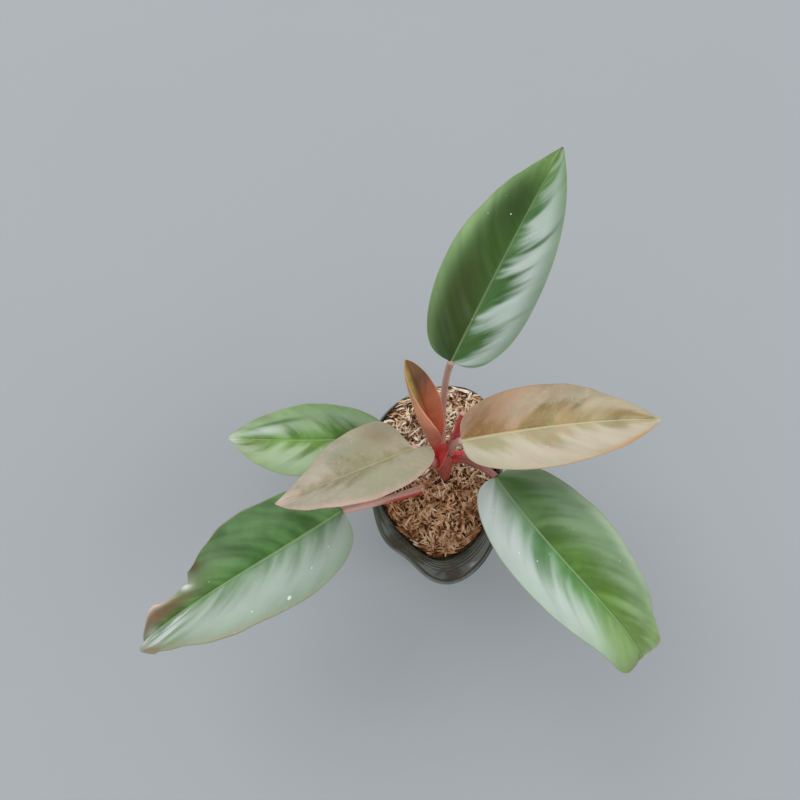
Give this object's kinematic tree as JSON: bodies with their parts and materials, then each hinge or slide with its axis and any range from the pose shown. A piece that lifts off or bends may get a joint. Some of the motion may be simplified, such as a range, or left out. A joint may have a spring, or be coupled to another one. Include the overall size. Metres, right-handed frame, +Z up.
{
  "type": "potted philodendron",
  "caption": "Young philodendron with broad green and bronze leaves and a rolled red leaf, in a squeezed soft black nursery pot topped with husk mulch.",
  "frame": {"origin": "centre of the pot's flat base, on the surface it stands on", "axes": "+Z up, +Y towards the broad back of the squeezed rim, +X to the right when the pot's narrow front faces the viewer"},
  "size_m": [0.3168, 0.276, 0.2472],
  "materials": {
    "nursery_pot": "gloss",
    "potting_mix": "matte",
    "husk_mulch": "matte",
    "maroon_stem": "satin",
    "pink_petiole": "satin",
    "green_leaf": "satin",
    "bronze_leaf": "satin",
    "young_leaf": "gloss",
    "red_scale": "gloss"
  },
  "bodies": {
    "root": {"pot": "nursery_pot", "potting_mix": "potting_mix", "mulch": "husk_mulch", "stem": "maroon_stem", "cut_stalk": "maroon_stem", "petiole_back": "pink_petiole", "petiole_right": "pink_petiole", "petiole_front_right": "maroon_stem", "petiole_front_left": "pink_petiole", "petiole_left": "pink_petiole", "petiole_back_left": "pink_petiole", "blade_back": "green_leaf", "blade_right": "bronze_leaf", "blade_front_right": "green_leaf", "blade_front_left": "green_leaf", "blade_left": "bronze_leaf", "blade_back_left": "green_leaf", "new_leaf": "young_leaf", "bud_scale": "red_scale"}
  },
  "joints": []
}
